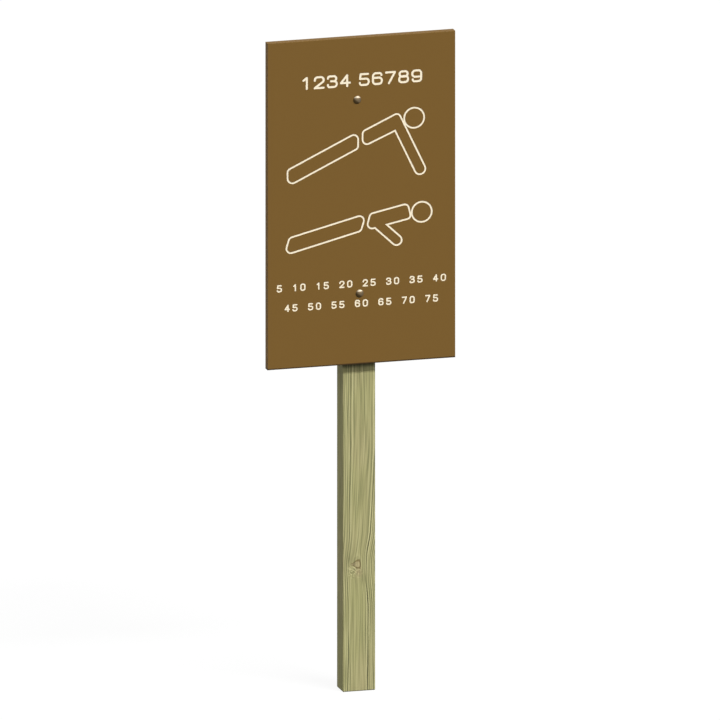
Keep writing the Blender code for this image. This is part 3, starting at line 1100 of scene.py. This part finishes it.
cream, shader, here, facing = new_material("groove_paint_cream", 0.5, 0.3)
specks = cloudy(here, 0.8 * MM)
tone = plus(1.0, (cloudy(here, 12 * MM, 3.0), 0.02), (specks, 0.015))
finish_with(shader, scaled(CREAM, tone), specks, 0.02 * MM)

# %% Steel: a painted highlight on a head's upper side, and painted shade at its lower left
DULL_ZINC = 0.165, 0.122, 0.072, 1
# A painted highlight: the lighter colour of faces that look up.
PAINTED_HIGHLIGHT_ZINC = 0.42, 0.36, 0.27, 1
# Painted shade: the dark colour of faces that look down and to the left, away from the lamp.
PAINTED_SHADE_ZINC = 0.045, 0.028, 0.008, 1

steel, shader, here, facing = new_material("galvanised_steel_dull", 0.6, 0.5, 1.0)
clouds = cloudy(here, 2.2 * MM, 3.0)
painted_highlight_slant = plus(dot(facing, (0.0, 0.0, 1.0)), (clouds, 0.04))
painted_shade_slant = plus(dot(facing, (-0.6, 0.0, -0.8)), (clouds, 0.05))
zinc = mixed(ramp(painted_highlight_slant, 0.33, 0.47), DULL_ZINC, PAINTED_HIGHLIGHT_ZINC)
zinc = mixed(ramp(painted_shade_slant, 0.0, 0.35, 0.0, 0.85), zinc, PAINTED_SHADE_ZINC)
put(shader["Roughness"], plus(0.6, (clouds, 0.05)))
finish_with(shader, scaled(zinc, plus(1.0, (clouds, 0.08))), clouds, 0.02 * MM)

# %% Give each piece its finish
SHARP_ANGLE = math.radians(32)
ALONG_AN_AXIS = 0.9999


def dress(piece, finish, slot_name, *stands_for):
    """Gives a piece its material, smooths its round faces only, and ties it to the frame."""
    mesh = piece.data
    mesh.materials.clear()
    mesh.materials.append(finish)
    mesh.shade_smooth()
    mesh.set_sharp_from_angle(angle=SHARP_ANGLE)
    is_round = [max(map(abs, face.normal)) < ALONG_AN_AXIS for face in mesh.polygons]
    mesh.polygons.foreach_set("use_smooth", is_round)
    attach(piece, "root")
    if stands_for:
        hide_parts(*stands_for)


dress(board, sheet, "board_brown", "board")
for name in figure_lines:
    dress(paint_pieces[name], cream, "infill_cream", f"{name}_line")
for name in ROWS:
    dress(paint_pieces[name], cream, "infill_cream")
for place in bolt_places:
    for kind, pieces in (("bolt", bolts), ("washer", washers), ("nut", nuts)):
        dress(pieces[place], steel, "galvanised_steel", f"{place}_{kind}")
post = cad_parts["post"]
post.data.materials.clear()
post.data.materials.append(pine)

# %% [markdown]
# ## Floor, light and camera
#
# The sign stands on a plain pale floor against white. A lamp from the upper right gives the post its shadow
# under the board. It is long and lies level, along X, so the shadow's edge stays sharp, and it is far off, so
# all of the board gets the same light. The surroundings give a weaker light, most of it from a band that is
# 20 to 50 degrees above the horizon. The board hides that band from the wood just under its edge, which makes
# the dark line of a real overhang.
#
# The camera and reflections see the floor and the surroundings as white. The light path gives the object
# another light from them, so a white picture costs it none of its colour.

# %% What the camera, reflections and glass see
def seen_directly(tree):
    """1 for a ray from the camera or from a reflection or through glass, and 0 for one that gathers light."""
    path = add(tree, "LightPath").outputs
    mirrored = calc("MAXIMUM", path["Is Glossy Ray"], path["Is Transmission Ray"])
    return calc("MAXIMUM", path["Is Camera Ray"], mirrored)


# %% Floor
FLOOR_HALF = 15
FLOOR_LIGHT = 0.06, 0.06, 0.06, 1
SHADOW_SHARE = 0.08
WHITE = 1, 1, 1, 1

corners = [(x * FLOOR_HALF, y * FLOOR_HALF, 0) for x, y in ((-1, -1), (1, -1), (1, 1), (-1, 1))]
floor = make_object("floor", corners, [(0, 1, 2, 3)])
floor_look = bpy.data.materials.new("pale_floor")
floor_look.use_nodes = True
tree = floor_look.node_tree
tree.nodes.clear()
lit = add(tree, "BsdfDiffuse", {"Color": WHITE}).outputs[0]
glow = add(tree, "Emission", {"Color": WHITE, "Strength": 1.0}).outputs[0]
pale = add(tree, "BsdfDiffuse", {"Color": FLOOR_LIGHT}).outputs[0]
white = node("MixShader", {0: SHADOW_SHARE, 1: glow, 2: lit})[0]
surface = node("MixShader", {0: seen_directly(tree), 1: pale, 2: white})[0]
node("OutputMaterial", {"Surface": surface})
floor.data.materials.append(floor_look)

# %% Surroundings
HORIZON_LIGHT = 0.25
BAND_LIGHT = 1.0
BAND_START = math.sin(math.radians(20))
BAND_END = math.sin(math.radians(36)), math.sin(math.radians(52))

world = bpy.data.worlds.new("surroundings")
bpy.context.scene.world = world
world.use_nodes = True
tree = world.node_tree
tree.nodes.clear()
height = parts_of(add(tree, "TexCoord").outputs["Generated"])[2]
rising = ramp(height, 0.0, BAND_START, HORIZON_LIGHT, BAND_LIGHT)
falling = ramp(height, *BAND_END, 1.0, 0.0)
light = times(rising, falling, calc("GREATER_THAN", height, 0.0))
strength = calc("MAXIMUM", light, seen_directly(tree))
sky = node("Background", {"Color": WHITE, "Strength": strength})[0]
node("OutputWorld", {"Surface": sky})

# %% Lamps and cameras
def direction(azimuth, elevation):
    """The direction to a place round the sign: azimuth 0 is in front of it, and 90 degrees to its right."""
    flat = math.cos(elevation)
    return Vector((math.sin(azimuth) * flat, -math.cos(azimuth) * flat, math.sin(elevation)))


def stood_at(name, data, place, towards, across):
    """A lamp or camera at a place, with its Z along towards and its X as near to across as can be."""
    made = bpy.data.objects.new(name, data)
    bpy.context.scene.collection.objects.link(made)
    y = towards.cross(across).normalized()
    made.location = place
    made.rotation_mode = "QUATERNION"
    made.rotation_quaternion = Matrix((y.cross(towards), y, towards)).transposed().to_quaternion()
    return made


# %% Lamp
KEY_DIRECTION = direction(math.radians(35), math.radians(45.7))
KEY_DISTANCE = 240
KEY_AIM = Vector((0, 0, 0.9))
KEY_LENGTH = 144
KEY_WIDTH = 28
KEY_POWER = 700000

key_data = bpy.data.lights.new("key", "AREA")
key_data.shape = "RECTANGLE"
key_data.size = KEY_LENGTH
key_data.size_y = KEY_WIDTH
key_data.energy = KEY_POWER
stood_at("key", key_data, KEY_AIM + KEY_DIRECTION * KEY_DISTANCE, KEY_DIRECTION, Vector((1, 0, 0)))

# %% Camera
VIEW_AZIMUTH = math.radians(-15.5)
VIEW_ELEVATION = math.radians(14.6)
AIM_RIGHT = 0.0081
AIM_UP = 0.6811
CAMERA_DISTANCE = 4
PICTURE_WIDTH = 1.4933

towards = direction(VIEW_AZIMUTH, VIEW_ELEVATION)
right = Vector((math.cos(VIEW_AZIMUTH), math.sin(VIEW_AZIMUTH), 0))
up = towards.cross(right)
camera_data = bpy.data.cameras.new("camera")
camera_data.type = "ORTHO"
camera_data.ortho_scale = PICTURE_WIDTH
camera_place = right * AIM_RIGHT + up * AIM_UP + towards * CAMERA_DISTANCE
bpy.context.scene.camera = stood_at("camera", camera_data, camera_place, towards, right)
bpy.context.scene.view_settings.view_transform = "Standard"
